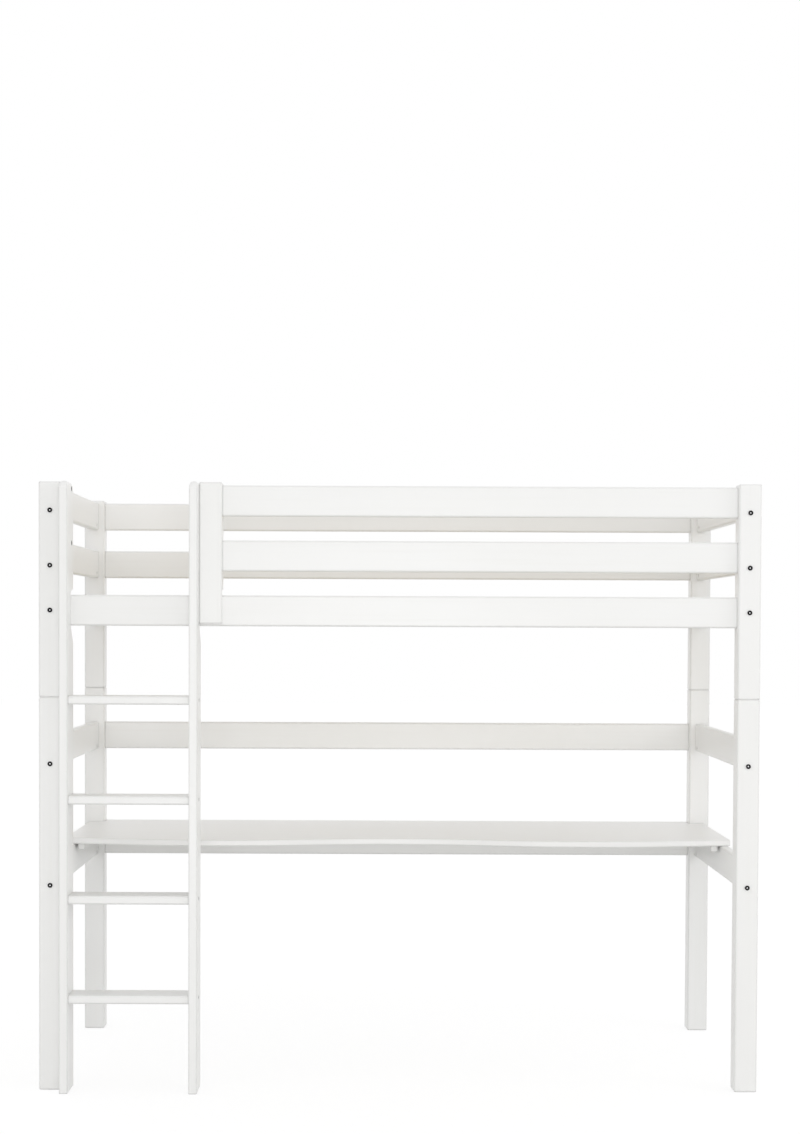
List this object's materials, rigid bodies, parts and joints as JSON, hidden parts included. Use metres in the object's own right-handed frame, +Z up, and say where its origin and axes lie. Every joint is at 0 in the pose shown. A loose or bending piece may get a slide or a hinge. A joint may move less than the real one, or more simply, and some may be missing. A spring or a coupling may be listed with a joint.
{
  "type": "loft bed",
  "caption": "Free-standing white wooden loft bed with guard rails, a slatted base, a fixed upright ladder at one end and a desk top with a waved front edge below.",
  "frame": {"origin": "on the floor, below the centre of the whole outline", "axes": "+X along the bed to the right, seen from the ladder's side; +Y from the front, where the ladder is, to the back; +Z up"},
  "size_m": [2.108, 1.056, 1.776],
  "materials": {
    "white_lacquer": "white satin lacquer",
    "slat_wood": "bare pine",
    "pin_wood": "bare beech",
    "black_bolt": "black oxide",
    "zinc_steel": "zinc plated"
  },
  "bodies": {
    "root": {"barrel_nuts": "black_bolt", "bed_rail_front": "white_lacquer", "bed_rail_left": "white_lacquer", "bed_rail_rear": "white_lacquer", "bed_rail_right": "white_lacquer", "brace_rail_left": "white_lacquer", "brace_rail_rear": "white_lacquer", "brace_rail_right": "white_lacquer", "desk_cleat_left": "white_lacquer", "desk_cleat_right": "white_lacquer", "desk_rail_left": "white_lacquer", "desk_rail_rear": "white_lacquer", "desk_rail_right": "white_lacquer", "desk_top": "white_lacquer", "end_rail_bolts": "black_bolt", "frame_screws": "zinc_steel", "guard_stanchion": "white_lacquer", "ladder_bolts": "black_bolt", "ladder_inserts": "zinc_steel", "ladder_rung_1": "white_lacquer", "ladder_rung_2": "white_lacquer", "ladder_rung_3": "white_lacquer", "ladder_rung_4": "white_lacquer", "ladder_stile_left": "white_lacquer", "ladder_stile_right": "white_lacquer", "lower_post_front_left": "white_lacquer", "lower_post_front_right": "white_lacquer", "lower_post_rear_left": "white_lacquer", "lower_post_rear_right": "white_lacquer", "middle_rail_front": "white_lacquer", "middle_rail_left": "white_lacquer", "middle_rail_rear": "white_lacquer", "middle_rail_right": "white_lacquer", "post_pins": "pin_wood", "side_rail_bolts": "black_bolt", "slat_01": "slat_wood", "slat_02": "slat_wood", "slat_03": "slat_wood", "slat_04": "slat_wood", "slat_05": "slat_wood", "slat_06": "slat_wood", "slat_07": "slat_wood", "slat_08": "slat_wood", "slat_09": "slat_wood", "slat_10": "slat_wood", "slat_11": "slat_wood", "slat_12": "slat_wood", "slat_ledge_front": "white_lacquer", "slat_ledge_rear": "white_lacquer", "top_rail_front": "white_lacquer", "top_rail_left": "white_lacquer", "top_rail_rear": "white_lacquer", "top_rail_right": "white_lacquer", "upper_post_front_left": "white_lacquer", "upper_post_front_right": "white_lacquer", "upper_post_rear_left": "white_lacquer", "upper_post_rear_right": "white_lacquer"}
  },
  "joints": []
}
